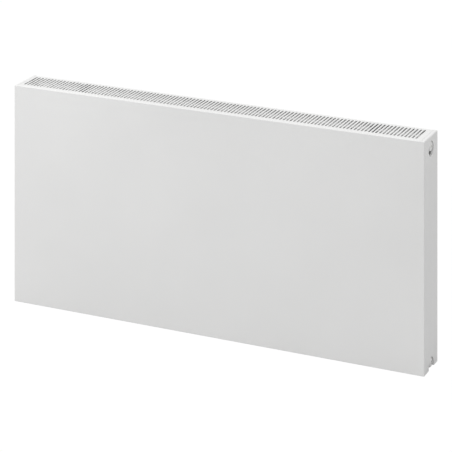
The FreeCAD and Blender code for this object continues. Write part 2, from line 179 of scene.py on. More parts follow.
def grained_lacquer_with_painted_light():
    """A thinner coat on the sheets behind the casing, with the rolled steel's grain showing through. Its
    white is lighter than the casing's lacquer: painted light, so that these parts in shade look brighter.
    """
    paint = Pattern("grained_lacquer_with_painted_light")
    # Whiter than the casing's lacquer: painted light that brightens the shaded inside; the stretched noise
    # is the steel's grain.
    paint.colours(paint.noise(14, 5, (1, 1, 0.3)), (0.85, 0.85, 0.845), (0.9, 0.9, 0.895))
    paint.roughness(paint.noise(30, 4), 0.42, 0.6)
    paint.bumps((paint.noise(420, 2), 0.12 * MM, 0.4), (paint.noise(60, 2, (1, 1, 0.15)), 0.1 * MM, 0.2))
    return paint.material


def nickel_plating():
    metal = Pattern("nickel_plating")
    metal.shader.inputs["Metallic"].default_value = 1
    metal.colours(metal.noise(300, 3), (0.66, 0.65, 0.62), (0.76, 0.75, 0.72))
    metal.roughness(metal.noise(500, 3), 0.12, 0.26)
    metal.bumps((metal.rings((0, PORT_Y * MM, HIGH_Z * MM), 900), 0.01 * MM, 0.25))
    return metal.material


def spring_steel():
    metal = Pattern("spring_steel")
    metal.shader.inputs["Metallic"].default_value = 1
    metal.colours(metal.noise(160, 4, (1, 1, 0.1)), (0.5, 0.51, 0.53), (0.64, 0.65, 0.67))
    metal.roughness(metal.noise(900, 3, (1, 1, 0.04)), 0.25, 0.45)
    metal.bumps((metal.noise(1500, 2, (1, 1, 0.03)), 0.01 * MM, 0.4))
    return metal.material


def white_plastic():
    plastic = Pattern("white_plastic")
    plastic.colours(plastic.noise(90, 2), (0.80, 0.80, 0.78), (0.86, 0.86, 0.84))
    plastic.roughness(plastic.noise(400, 2), 0.28, 0.4)
    plastic.bumps((plastic.noise(2500, 2), 0.02 * MM, 0.3))
    return plastic.material


def black_rubber():
    rubber = Pattern("black_rubber")
    rubber.colours(rubber.noise(500, 3), (0.012, 0.012, 0.013), (0.03, 0.03, 0.032))
    rubber.roughness(rubber.noise(700, 2), 0.6, 0.8)
    rubber.bumps((rubber.noise(1800, 3), 0.03 * MM, 0.5))
    return rubber.material


def adhesive():
    glue = Pattern("adhesive")
    glue.colours(glue.noise(120, 3), (0.10, 0.10, 0.105), (0.15, 0.15, 0.155))
    glue.roughness(glue.noise(200, 2), 0.5, 0.7)
    glue.bumps((glue.noise(260, 3), 0.3 * MM, 0.5))
    return glue.material


LACQUER = white_lacquer()
GRAINED_LACQUER_WITH_PAINTED_LIGHT = grained_lacquer_with_painted_light()
NICKEL = nickel_plating()
SPRING = spring_steel()
PLASTIC = white_plastic()
RUBBER = black_rubber()
GLUE = adhesive()


# ---- camera, light and floor ---------------------------------------------------------------------

CAMERA_PLACE = (2.4189, -5.3277, 2.3855)
CAMERA_TURN = 24.23
CAMERA_LENS = 173.3
CAMERA_DROP = -1.7325


def make_camera():
    """A level camera whose lens is shifted down, so the radiator's uprights stay upright.

    The shift belongs to this one place: from anywhere else the lens is centred.
    """
    data = bpy.data.cameras.new("camera")
    camera = bpy.data.objects.new("camera", data)
    bpy.context.scene.collection.objects.link(camera)
    camera.location = CAMERA_PLACE
    camera.rotation_euler = (math.radians(90), 0, math.radians(CAMERA_TURN))
    data.lens = CAMERA_LENS
    data.clip_start = 0.1
    data.clip_end = 100
    driver = data.driver_add("shift_y").driver
    place = driver.variables.new()
    place.name = "x"
    place.type = "TRANSFORMS"
    place.targets[0].id = camera
    place.targets[0].transform_type = "LOC_X"
    driver.type = "SCRIPTED"
    driver.expression = f"{CAMERA_DROP} if abs(x - {CAMERA_PLACE[0]}) < 0.001 else 0"
    bpy.context.scene.camera = camera


SKY_LEVEL = 0.56
SKY_RISE = 1.03
SKY_FRONT = 0.115
SKY_LEFT = 0.24
SKY_LEAST = 0.05
SEEN_WHITE = 1.02


def make_world():
    """A white studio: brighter overhead and to the front left. The camera itself sees plain white."""
    world = bpy.data.worlds.new("studio")
    bpy.context.scene.world = world
    world.use_nodes = True
    nodes = world.node_tree.nodes
    links = world.node_tree.links
    nodes.clear()
    out = nodes.new("ShaderNodeOutputWorld")
    coordinates = nodes.new("ShaderNodeTexCoord")
    dot = nodes.new("ShaderNodeVectorMath")
    dot.operation = "DOT_PRODUCT"
    dot.inputs[1].default_value = (-SKY_LEFT, -SKY_FRONT, SKY_RISE)
    links.new(coordinates.outputs["Generated"], dot.inputs[0])
    level = nodes.new("ShaderNodeMath")
    level.operation = "ADD"
    level.inputs[1].default_value = SKY_LEVEL
    links.new(dot.outputs["Value"], level.inputs[0])
    positive = nodes.new("ShaderNodeMath")
    positive.operation = "MAXIMUM"
    positive.inputs[1].default_value = SKY_LEAST
    links.new(level.outputs["Value"], positive.inputs[0])
    light = nodes.new("ShaderNodeBackground")
    links.new(positive.outputs["Value"], light.inputs["Strength"])
    seen = nodes.new("ShaderNodeBackground")
    seen.inputs["Color"].default_value = (1, 1, 1, 1)
    seen.inputs["Strength"].default_value = SEEN_WHITE
    path = nodes.new("ShaderNodeLightPath")
    mix = nodes.new("ShaderNodeMixShader")
    links.new(path.outputs["Is Camera Ray"], mix.inputs["Fac"])
    links.new(light.outputs["Background"], mix.inputs[1])
    links.new(seen.outputs["Background"], mix.inputs[2])
    links.new(mix.outputs["Shader"], out.inputs["Surface"])


FLOOR_HALF = 30.0
FLOOR_WHITE = 0.6
FLOOR_DROP = 1 * MM


def make_floor():
    """A plain white floor that lights the object from below and shows no shadow."""
    mesh = bpy.data.meshes.new("floor")
    corners = [(-FLOOR_HALF, -FLOOR_HALF, 0), (FLOOR_HALF, -FLOOR_HALF, 0),
               (FLOOR_HALF, FLOOR_HALF, 0), (-FLOOR_HALF, FLOOR_HALF, 0)]
    mesh.from_pydata(corners, [], [(0, 1, 2, 3)])
    floor = bpy.data.objects.new("floor", mesh)
    floor.location.z = cad_box[0].z - FLOOR_DROP
    bpy.context.scene.collection.objects.link(floor)
    material = bpy.data.materials.new("floor_white")
    material.use_nodes = True
    nodes = material.node_tree.nodes
    links = material.node_tree.links
    nodes.clear()
    out = nodes.new("ShaderNodeOutputMaterial")
    matt = nodes.new("ShaderNodeBsdfDiffuse")
    matt.inputs["Color"].default_value = (FLOOR_WHITE, FLOOR_WHITE, FLOOR_WHITE, 1)
    seen = nodes.new("ShaderNodeEmission")
    seen.inputs["Strength"].default_value = SEEN_WHITE
    path = nodes.new("ShaderNodeLightPath")
    mix = nodes.new("ShaderNodeMixShader")
    links.new(path.outputs["Is Camera Ray"], mix.inputs["Fac"])
    links.new(matt.outputs["BSDF"], mix.inputs[1])
    links.new(seen.outputs["Emission"], mix.inputs[2])
    links.new(mix.outputs["Shader"], out.inputs["Surface"])
    mesh.materials.append(material)


def soft_light(name, place, aim, size, power):
    """A round area light that the camera does not see. Places in metres, power in watts."""
    data = bpy.data.lights.new(name, "AREA")
    data.shape = "DISK"
    data.size = size
    data.energy = power
    light = bpy.data.objects.new(name, data)
    bpy.context.scene.collection.objects.link(light)
    light.location = place
    light.visible_camera = False
    light.rotation_euler = (Vector(aim) - Vector(place)).to_track_quat("-Z", "Y").to_euler()


def make_stage():
    """Camera, studio, floor, a key light from the front left and a weak one on the right end."""
    bpy.context.scene.view_settings.view_transform = "Standard"
    make_camera()
    make_world()
    make_floor()
    soft_light("key", place=(-1.6, -1.6, 1.9), aim=(-0.3, 0, 0.35), size=1.2, power=14.5)
    soft_light("right_end", place=(1.2, -0.1, 0.95), aim=(0.6, 0, 0.5), size=0.4, power=0.55)


# ---- mesh helpers: every build is in millimetres -------------------------------------------------

def place_mesh(name, build):
    """The build as an object, its faces turned as they were made."""
    mesh = bpy.data.meshes.new(name)
    build.to_mesh(mesh)
    build.free()
    piece = bpy.data.objects.new(name, mesh)
    bpy.context.scene.collection.objects.link(piece)
    return piece


def to_object(name, build):
    """The build as an object, its faces turned outwards."""
    bmesh.ops.recalc_face_normals(build, faces=build.faces)
    return place_mesh(name, build)


def apply_modifiers(piece):
    """Replaces the object's mesh with its modified one."""
    graph = bpy.context.evaluated_depsgraph_get()
    mesh = bpy.data.meshes.new_from_object(piece.evaluated_get(graph))
    piece.modifiers.clear()
    piece.data = mesh


def thicken(piece, thickness):
    """Gives a surface its sheet thickness, behind its outer face."""
    modifier = piece.modifiers.new("sheet", "SOLIDIFY")
    modifier.thickness = thickness
    modifier.offset = -1
    modifier.use_even_offset = True
    apply_modifiers(piece)


def combine(piece, other, operation):
    """Boolean of two closed meshes. The other one is used up."""
    modifier = piece.modifiers.new("boolean", "BOOLEAN")
    modifier.operation = operation
    modifier.object = other
    modifier.solver = "EXACT"
    bpy.context.view_layer.update()
    apply_modifiers(piece)
    bpy.data.objects.remove(other)


def complete(piece, body, material, replaced=(), angle=35):
    """Scales a finished mesh to metres, shades it and puts it on its body."""
    mesh = piece.data
    mesh.transform(Matrix.Diagonal((MM, MM, MM, 1)))
    mesh.name = piece.name
    mesh.materials.clear()
    mesh.materials.append(material)
    mesh.shade_smooth()
    mesh.set_sharp_from_angle(angle=math.radians(angle))
    modifier = piece.modifiers.new("flat_faces_stay_flat", "WEIGHTED_NORMAL")
    modifier.keep_sharp = True
    apply_modifiers(piece)
    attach(piece, body)
    if replaced:
        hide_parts(*replaced)


def block(low, high, gone=()):
    """A box build without its faces towards the gone directions."""
    build = bmesh.new()
    bmesh.ops.create_cube(build, size=1)
    for vertex in build.verts:
        vertex.co = [low[i] if vertex.co[i] < 0 else high[i] for i in range(3)]
    build.normal_update()
    open_sides = [face for face in build.faces if any(face.normal.dot(Vector(way)) > 0.9 for way in gone)]
    bmesh.ops.delete(build, geom=open_sides, context="FACES")
    return build


def round_edges(build, radius, segments, test):
    """Bevels the edges whose middle point passes the test."""
    edges = [edge for edge in build.edges if test((edge.verts[0].co + edge.verts[1].co) / 2)]
    bmesh.ops.bevel(build, geom=edges, offset=radius, segments=segments, profile=0.5, affect="EDGES")


SAME_PLACE = 0.01
MERGE = 0.0001
GRILLE_MERGE = 0.001


def near(a, b):
    return abs(a - b) < SAME_PLACE


def sweep(build, profile, stations, closed_profile=True, closed_path=False):
    """Quads between copies of a profile. A station turns a profile point (u, v) into a place."""
    rings = [[build.verts.new(station(u, v)) for u, v in profile] for station in stations]
    count = len(profile)
    pairs = list(zip(rings, rings[1:]))
    if closed_path:
        pairs.append((rings[-1], rings[0]))
    for first, second in pairs:
        for i in range(count if closed_profile else count - 1):
            j = (i + 1) % count
            build.faces.new((first[i], first[j], second[j], second[i]))
    if closed_profile and not closed_path:
        build.faces.new(rings[0][::-1])
        build.faces.new(rings[-1])


def turned(build, profile, centre, axis, segments):
    """A turned solid: profile points are (along the axis, radius), from its axis round to its axis."""
    stations = []
    for i in range(segments):
        angle = 2 * math.pi * i / segments
        stations.append(turn_station(centre, axis, math.cos(angle), math.sin(angle)))
    sweep(build, profile, stations, closed_profile=False, closed_path=True)
    bmesh.ops.remove_doubles(build, verts=build.verts, dist=MERGE)


def turn_station(centre, axis, c, s):
    """A station of a turned piece on an axis along X or along Y."""
    x, y, z = centre
    if axis == "X":
        return lambda along, radius: (x + along, y + radius * c, z + radius * s)
    return lambda along, radius: (x + radius * c, y + along, z + radius * s)


def arc(centre_u, centre_v, radius, start, end, steps):
    """Points of a circular arc, angles in degrees."""
    points = []
    for i in range(steps + 1):
        angle = math.radians(start + (end - start) * i / steps)
        points.append((centre_u + radius * math.cos(angle), centre_v + radius * math.sin(angle)))
    return points


# ---- casing --------------------------------------------------------------------------------------

PLATE_SHEET = 1.2
PLATE_BEND = 1.5


def make_front_plate():
    """The lacquered tray: a flat face with folded edges."""
    build = block(PLATE_LOW, PLATE_HIGH, gone=[(0, 1, 0)])
    round_edges(build, PLATE_BEND, 6, lambda m: m.y < PLATE_HIGH.y - SAME_PLACE)
    piece = to_object("front_plate_skin", build)
    thicken(piece, PLATE_SHEET)
    complete(piece, "radiator", LACQUER, ["front_plate"])


COVER_SHEET = 0.8
COVER_BEND = 3.5
COVER_CORNER = 1.2
OPENING_RADIUS = 19.6
HIGH_OPENING_Z = 566.0
LOW_OPENING_Z = 9.2
LIP_DEPTH = 6.5
LIP_ROLL = 1.2
OPENING_STEPS = 64
RUN_OUT = 5.0


def lip_profile():
    """Section of an opening's rolled-in edge: (radius from the opening's middle, depth)."""
    outer_roll = arc(OPENING_RADIUS + LIP_ROLL, LIP_ROLL, LIP_ROLL, 270, 180, 5)
    inner_radius = LIP_ROLL - COVER_SHEET
    inner_roll = arc(OPENING_RADIUS + LIP_ROLL, LIP_ROLL, inner_radius, 180, 270, 3)
    return outer_roll + [(OPENING_RADIUS, LIP_DEPTH), (OPENING_RADIUS + COVER_SHEET, LIP_DEPTH)] + inner_roll


def opening_path(middle_z, low_z=None):
    """Stations round an opening. With low_z the opening runs straight down to that height."""
    directions = []
    if low_z is None:
        for i in range(OPENING_STEPS):
            angle = 2 * math.pi * i / OPENING_STEPS
            directions.append((math.cos(angle), math.sin(angle), middle_z))
    else:
        directions.append((1, 0, low_z))
        for i in range(OPENING_STEPS // 2 + 1):
            angle = 2 * math.pi * i / OPENING_STEPS
            directions.append((math.cos(angle), math.sin(angle), middle_z))
        directions.append((-1, 0, low_z))
    return directions


def opening_cutter(middle_z, low_z=None):
    """A closed prism through the cover's web, as wide as the rolled edge's outside."""
    build = bmesh.new()
    radius = OPENING_RADIUS + LIP_ROLL
    near_ring = []
    far_ring = []
    for c, s, z in opening_path(middle_z, low_z):
        near_ring.append(build.verts.new((SIDE_X + RUN_OUT, PORT_Y + radius * c, z + radius * s)))
        far_ring.append(build.verts.new((SIDE_X - RUN_OUT, PORT_Y + radius * c, z + radius * s)))
    build.faces.new(near_ring)
    build.faces.new(far_ring[::-1])
    for i in range(len(near_ring)):
        j = (i + 1) % len(near_ring)
        build.faces.new((near_ring[i], far_ring[i], far_ring[j], near_ring[j]))
    return to_object("opening", build)


def opening_lip(build, middle_z, low_z=None):
    """The rolled-in edge of one opening."""
    stations = []
    for c, s, z in opening_path(middle_z, low_z):
        stations.append(lambda u, v, c=c, s=s, z=z: (SIDE_X - v, PORT_Y + u * c, z + u * s))
    sweep(build, lip_profile(), stations, closed_path=low_z is None)


def make_cover(name, body, node, mirrored):
    """A side cover: web, flanges and the two rolled openings."""
    build = block(COVER_LOW, COVER_HIGH, gone=[(-1, 0, 0), (0, 0, -1)])
    round_edges(build, COVER_BEND, 6, lambda m: near(m.x, SIDE_X) and near(m.z, TOP_Z))
    middle_z = (COVER_LOW.z + TOP_Z) / 2
    round_edges(build, COVER_CORNER, 3, lambda m: near(m.x, SIDE_X) and abs(m.z - middle_z) < 2 * COVER_BEND)
    piece = to_object(name, build)
    thicken(piece, COVER_SHEET)
    combine(piece, opening_cutter(HIGH_OPENING_Z), "DIFFERENCE")
    combine(piece, opening_cutter(LOW_OPENING_Z, COVER_LOW.z - RUN_OUT), "DIFFERENCE")
    build = bmesh.new()
    build.from_mesh(piece.data)
    opening_lip(build, HIGH_OPENING_Z)
    opening_lip(build, LOW_OPENING_Z, COVER_LOW.z)
    bmesh.ops.recalc_face_normals(build, faces=build.faces)
    if mirrored:
        for vertex in build.verts:
            vertex.co.x = -vertex.co.x
        bmesh.ops.reverse_faces(build, faces=build.faces)
    build.to_mesh(piece.data)
    build.free()
    complete(piece, body, LACQUER, [node])


GRILLE_SHEET = 0.8
GRILLE_FRONT_BEND = 1.2
GRILLE_BACK_BEND = 2.5
GRILLE_FRONT_FLANGE = 11.0
SLOT_COUNT = 116
SLOT_PITCH = 10.0
SLOT_HALF_WIDTH = 2.5
SLOT_HALF_LENGTH = 38.0
SLOT_MIDDLE_X = -4.0
SLOT_MIDDLE_Y = 4.0
SLOT_ROW_LOW_X = SLOT_MIDDLE_X - SLOT_COUNT * SLOT_PITCH / 2
SLOT_ROLL = 0.7
SLOT_LIP = 1.1
SLOT_CHAMFER = SLOT_ROLL * (1 - math.sin(math.radians(45)))
GRILLE_FRONT_EDGE = GRILLE_LOW.y + GRILLE_FRONT_BEND
GRILLE_BACK_EDGE = GRILLE_HIGH.y - GRILLE_BACK_BEND
TINY = 1e-6


def slot_directions():
    """Angles of an end arc, with the one that meets the cell's corner, per end: (front, back)."""
    half = SLOT_PITCH / 2
    ends = []
    for reach in (SLOT_MIDDLE_Y - GRILLE_FRONT_EDGE, GRILLE_BACK_EDGE - SLOT_MIDDLE_Y):
        corner = math.degrees(math.atan2(reach - SLOT_HALF_LENGTH + SLOT_HALF_WIDTH, half))
        ends.append([0, corner / 3, corner * 2 / 3, corner, 90, 180 - corner, 180 - corner * 2 / 3,
                     180 - corner / 3, 180])
    return ends


def slot_outline():
    """Unit directions round a slot with each end's centre: (cos, sin, centre y), from the back's right."""
    straight = SLOT_HALF_LENGTH - SLOT_HALF_WIDTH
    front, back = slot_directions()
    points = []
    for angle in back:
        turn = math.radians(angle)
        points.append((math.cos(turn), math.sin(turn), SLOT_MIDDLE_Y + straight))
    for angle in front:
        turn = math.radians(angle)
        points.append((-math.cos(turn), -math.sin(turn), SLOT_MIDDLE_Y - straight))
    return points


def slot_cell(build, x):
    """One pitch of the grille's top with its slot, whose edge is rolled down."""
    half = SLOT_PITCH / 2
    rings = [[], [], [], [], []]
    for c, s, y in slot_outline():
        room = GRILLE_BACK_EDGE - y if s > 0 else y - GRILLE_FRONT_EDGE
        reach = min(half / max(abs(c), TINY), room / max(abs(s), TINY))
        section = ((reach, 0),
                   (SLOT_HALF_WIDTH + SLOT_ROLL, 0),
                   (SLOT_HALF_WIDTH + SLOT_CHAMFER, SLOT_CHAMFER),
                   (SLOT_HALF_WIDTH, SLOT_ROLL),
                   (SLOT_HALF_WIDTH, SLOT_LIP))
        for ring, (radius, drop) in zip(rings, section):
            ring.append(build.verts.new((x + radius * c, y + radius * s, TOP_Z - drop)))
    count = len(rings[0])
    for outer, inner in zip(rings, rings[1:]):
        for i in range(count):
            j = (i + 1) % count
            build.faces.new((outer[i], outer[j], inner[j], inner[i]))


def grille_edges(build):
    """The bends and flanges along the front and the back, and the plain ends of the top."""
    xs = [SLOT_ROW_LOW_X + i * SLOT_PITCH / 2 for i in range(2 * SLOT_COUNT + 1)]
    xs = [GRILLE_LOW.x] + xs + [GRILLE_HIGH.x]
    front = [(GRILLE_FRONT_EDGE, TOP_Z)]
    front += arc(GRILLE_FRONT_EDGE, TOP_Z - GRILLE_FRONT_BEND, GRILLE_FRONT_BEND, 90, 180, 4)[1:]
    front.append((GRILLE_LOW.y, TOP_Z - GRILLE_FRONT_FLANGE))
    back = [(GRILLE_BACK_EDGE, TOP_Z)]
    back += arc(GRILLE_BACK_EDGE, TOP_Z - GRILLE_BACK_BEND, GRILLE_BACK_BEND, 90, 0, 5)[1:]
    back.append((GRILLE_HIGH.y, GRILLE_LOW.z))
    stations = [lambda y, z, x=x: (x, y, z) for x in xs]
    sweep(build, front, stations, closed_profile=False)
    sweep(build, back, stations, closed_profile=False)
    cell_side_ys = [y + SLOT_PITCH / 2 / c * s for c, s, y in slot_outline() if c > TINY]
    low_y = GRILLE_FRONT_EDGE - SAME_PLACE
    high_y = GRILLE_BACK_EDGE + SAME_PLACE
    strip = [(y, TOP_Z) for y in sorted(cell_side_ys) if low_y <= y <= high_y]
    for end in (xs[:2], xs[-2:]):
        sweep(build, strip, [lambda y, z, x=x: (x, y, z) for x in end], closed_profile=False)


def make_grille():
    """The slotted top with its flanges: one cell per slot, then the edges."""
    build = bmesh.new()
    for i in range(SLOT_COUNT):
        slot_cell(build, SLOT_ROW_LOW_X + (i + 0.5) * SLOT_PITCH)
    grille_edges(build)
    bmesh.ops.remove_doubles(build, verts=build.verts, dist=GRILLE_MERGE)
    piece = to_object("grille_skin", build)
    thicken(piece, GRILLE_SHEET)
    complete(piece, "grille", LACQUER, ["top_grille"])


# ---- water panels --------------------------------------------------------------------------------

SHEET = 1.2
CHANNEL_PITCH = 100.0 / 3
CHANNEL_COUNT = 35
CHANNEL_HALF_BASE = 12.9
CHANNEL_SLOPE = 5.9
COLUMN_STEPS = (0, 4, 7.0, 8.3, 9.5, 10.6, 11.8, 13.0, CHANNEL_PITCH / 2)
BORDER_ROWS = (0, 1.2, 2.3, 2.9, 3.4, 3.9, 4.5, 8, 16, 24)
VALLEY_END_ROWS = tuple(26 + 1.6 * i for i in range(11))
MIDDLE_ROWS_FROM = 50
HEADER_BASE = 33.0
HEADER_EDGE = 2.3
HEADER_SLOPE = 2.2
VALLEY_ROUND = 5.0


def smooth_step(t):
    """0 to 1 with flat ends, for t from 0 to 1."""
    t = min(max(t, 0.0), 1.0)
    return t * t * (3 - 2 * t)


def pressing_height(x, z, crest):
    """How far the sheet stands off its seam plane: vertical channels that end in two headers."""
    top = INNER_HIGH.z
    side = CHANNEL_COUNT / 2 * CHANNEL_PITCH - CHANNEL_PITCH / 2 + CHANNEL_HALF_BASE
    across = abs((x / CHANNEL_PITCH + 0.5) % 1 - 0.5) * CHANNEL_PITCH
    in_channel = CHANNEL_HALF_BASE - across
    in_header = max(HEADER_EDGE + HEADER_BASE - z, z - (top - HEADER_EDGE - HEADER_BASE))
    blend = max(VALLEY_ROUND - abs(in_channel - in_header), 0)
    inside = max(in_channel, in_header) + blend * blend / (4 * VALLEY_ROUND)
    border = min(z - HEADER_EDGE, top - HEADER_EDGE - z)
    slope = min(inside / CHANNEL_SLOPE, border / HEADER_SLOPE, (side - abs(x)) / CHANNEL_SLOPE)
    return SHEET + (crest - SHEET) * smooth_step(slope)


def panel_columns():
    """Grid lines along X: dense on the slopes, sparse on crests and valleys."""
    columns = set()
    for i in range(-(CHANNEL_COUNT // 2), CHANNEL_COUNT // 2 + 1):
        for step in COLUMN_STEPS:
            columns.add(round(i * CHANNEL_PITCH + step, 3))
            columns.add(round(i * CHANNEL_PITCH - step, 3))
    half = INNER_HIGH.x
    return [-half] + sorted(x for x in columns if abs(x) < half - 1) + [half]


def panel_rows():
    """Grid lines along Z: dense at the borders and where the valleys end."""
    top = INNER_HIGH.z
    low = list(BORDER_ROWS + VALLEY_END_ROWS)
    middle_rows = [MIDDLE_ROWS_FROM + (top - 2 * MIDDLE_ROWS_FROM) * i / 8 for i in range(9)]
    return low + middle_rows + [top - z for z in reversed(low)]


def make_panel_sheet(node, seam_y, outward):
    """One pressed sheet, its channels standing towards outward (-1 to the room, 1 to the wall)."""
    low, high = box_mm(node)
    crest = high.y - low.y
    build = bmesh.new()
    rows = panel_rows()
    grid = []
    for x in panel_columns():
        grid.append([build.verts.new((x, seam_y + outward * pressing_height(x, z, crest), z)) for z in rows])
    for first, second in zip(grid, grid[1:]):
        for j in range(len(rows) - 1):
            corners = (first[j], second[j], second[j + 1], first[j + 1])
            build.faces.new(corners if outward < 0 else corners[::-1])
    piece = place_mesh(node + "_skin", build)
    thicken(piece, SHEET)
    complete(piece, "radiator", GRAINED_LACQUER_WITH_PAINTED_LIGHT, [node], angle=60)


SPOT_ROWS = 11
SPOT_STEPS = 14
SPOT_HEADER_GAP = 12.0
SPOT_PROFILE = ((0, 0.10), (1.5, 0.10), (2.1, 0.28), (2.8, 0.22), (3.3, -0.05))


def make_spot_marks():
    """The round electrode marks in the valleys of the rear panel."""
    build = bmesh.new()
    y = REAR_SEAM_Y + SHEET
    low = HEADER_EDGE + HEADER_BASE + SPOT_HEADER_GAP
    high = INNER_HIGH.z - low
    for i in range(-(CHANNEL_COUNT // 2), CHANNEL_COUNT // 2):
        for j in range(SPOT_ROWS):
            x = (i + 0.5) * CHANNEL_PITCH + random.uniform(-0.4, 0.4)
            z = low + (high - low) * j / (SPOT_ROWS - 1) + random.uniform(-0.8, 0.8)
            stations = []
            for k in range(SPOT_STEPS):
                angle = 2 * math.pi * k / SPOT_STEPS
                stations.append(lambda r, h, c=math.cos(angle), s=math.sin(angle), x=x, z=z:
                                (x + r * c, y + h, z + r * s))
            sweep(build, SPOT_PROFILE, stations, closed_path=True)
    bmesh.ops.remove_doubles(build, verts=build.verts, dist=MERGE)
    complete(to_object("spot_weld_marks", build), "radiator", GRAINED_LACQUER_WITH_PAINTED_LIGHT, angle=50)


BEAD_SINK = 0.15
BEAD_SWELL = 0.18


def weld_line(build, start, end, across, out, width, height, pitch):
    """A rippled bead from start to end. across and out are unit directions."""
    start, end, across, out = Vector(start), Vector(end), Vector(across), Vector(out)
    steps = max(4, round((end - start).length / pitch * 3))
    profile = arc(0, 0, 1, 180, 0, 6)
    stations = []
    for i in range(steps + 1):
        place = start.lerp(end, i / steps)
        swell = 1 + BEAD_SWELL * math.sin(2 * math.pi * i / 3) + random.uniform(-0.05, 0.05)
        stations.append(lambda u, v, p=place, w=width / 2 * swell, h=height * swell:
                        p + across * (u * w) + out * (v * h - BEAD_SINK))
    sweep(build, profile, stations)


SEAM_WELD_INSET = 4.4
SEAM_WELD_END = 3.0


def make_seam_welds():
    """The roller-welded seams up both ends of the rear panel."""
    build = bmesh.new()
    y = REAR_SEAM_Y + SHEET
    for side in (-1, 1):
        x = side * (INNER_HIGH.x - SEAM_WELD_INSET)
        weld_line(build, start=(x, y, SEAM_WELD_END), end=(x, y, INNER_HIGH.z - SEAM_WELD_END),
                  across=(1, 0, 0), out=(0, 1, 0), width=4.2, height=0.4, pitch=3.0)
    complete(to_object("seam_welds", build), "radiator", GRAINED_LACQUER_WITH_PAINTED_LIGHT, angle=60)


# ---- convectors ----------------------------------------------------------------------------------

FIN_SHEET = 0.5
FIN_COUNT = 31
FIN_HALF_FLAT = 6.5
FIN_LEAN = 1.5
FIN_ROUND = 1.3
FIN_LEVELS = 4


def rounded_path(points, radius, steps):
    """The points with each corner replaced by a short curve."""
    path = [points[0]]
    for before, corner, after in zip(points, points[1:], points[2:]):
        before, corner, after = Vector(before), Vector(corner), Vector(after)
        start = corner + (before - corner).normalized() * radius
        end = corner + (after - corner).normalized() * radius
        for i in range(steps + 1):
            t = i / steps
            path.append((1 - t) ** 2 * start + 2 * t * (1 - t) * corner + t ** 2 * end)
    path.append(points[-1])
    return path


def make_convector(node, low, high, root_at_low):
    """The folded sheet between the panels: flats on the channels, folds towards the middle."""
    root = low.y if root_at_low else high.y - FIN_SHEET
    tip = high.y - FIN_SHEET if root_at_low else low.y
    reach = CHANNEL_PITCH / 2 - FIN_HALF_FLAT - FIN_LEAN
    points = []
    for i in range(FIN_COUNT):
        x = (i - FIN_COUNT // 2) * CHANNEL_PITCH
        points += [(x - FIN_HALF_FLAT, root, 0), (x + FIN_HALF_FLAT, root, 0)]
        if i < FIN_COUNT - 1:
            fold = x + CHANNEL_PITCH / 2
            points += [(fold - reach, tip, 0), (fold + reach, tip, 0)]
    build = bmesh.new()
    profile = [(p[0], p[1]) for p in rounded_path(points, FIN_ROUND, 3)]
    levels = [low.z + (high.z - low.z) * i / FIN_LEVELS for i in range(FIN_LEVELS + 1)]
    sweep(build, profile, [lambda u, v, z=z: (u, v, z) for z in levels], closed_profile=False)
    piece = place_mesh(node + "_skin", build)
    thicken(piece, FIN_SHEET)
    complete(piece, "radiator", GRAINED_LACQUER_WITH_PAINTED_LIGHT, [node], angle=50)


# ---- port tees -----------------------------------------------------------------------------------

TEE_RADIUS = 12.0
TEE_BORE = 9.0
COLLAR_RADIUS = 12.5
COLLAR_WAY = 8.0
THREAD_MINOR = 9.32
THREAD_MAJOR = 10.45
THREAD_PITCH = 1.814
THREAD_LENGTH = 15.0
THREAD_STEPS = 40
THREAD_ROWS_PER_TURN = 6
THREAD_OVERHANG = 0.01
MOUTH_CHAMFER = 1.2
BEYOND_AXIS = 1.3


def thread_cutter(mouth_x, z):
    """A closed screw-shaped solid that cuts the thread from the mouth inwards along +X."""
    build = bmesh.new()
    rings = []
    rows = round(THREAD_LENGTH / THREAD_PITCH * THREAD_ROWS_PER_TURN)
    for i in range(rows + 1):
        along = THREAD_LENGTH * i / rows
        ring = []
        for j in range(THREAD_STEPS):
            turn = j / THREAD_STEPS
            phase = (along / THREAD_PITCH - turn) % 1
            flank = min(1.0, max(0.0, 1.5 - abs(phase - 0.5) * 4))
            widen = max(0.0, MOUTH_CHAMFER - along)
            radius = max(THREAD_MINOR + (THREAD_MAJOR - THREAD_MINOR) * flank, THREAD_MINOR + widen)
            angle = 2 * math.pi * turn
            ring.append(build.verts.new((mouth_x + along, PORT_Y + radius * math.cos(angle),
                                         z + radius * math.sin(angle))))
        rings.append(ring)
    for first, second in zip(rings, rings[1:]):
        for j in range(THREAD_STEPS):
            k = (j + 1) % THREAD_STEPS
            build.faces.new((first[j], first[k], second[k], second[j]))
    build.faces.new(rings[0])
    build.faces.new(rings[-1])
    bmesh.ops.triangulate(build, faces=build.faces)
    return to_object("thread", build)


def rod(radius, axis, centre, length, steps):
    """A closed bar that starts at centre and runs along +X or +Y."""
    build = bmesh.new()
    turned(build, [(0, 0), (0, radius), (length, radius), (length, 0)], centre, axis, steps)
    return to_object("rod", build)


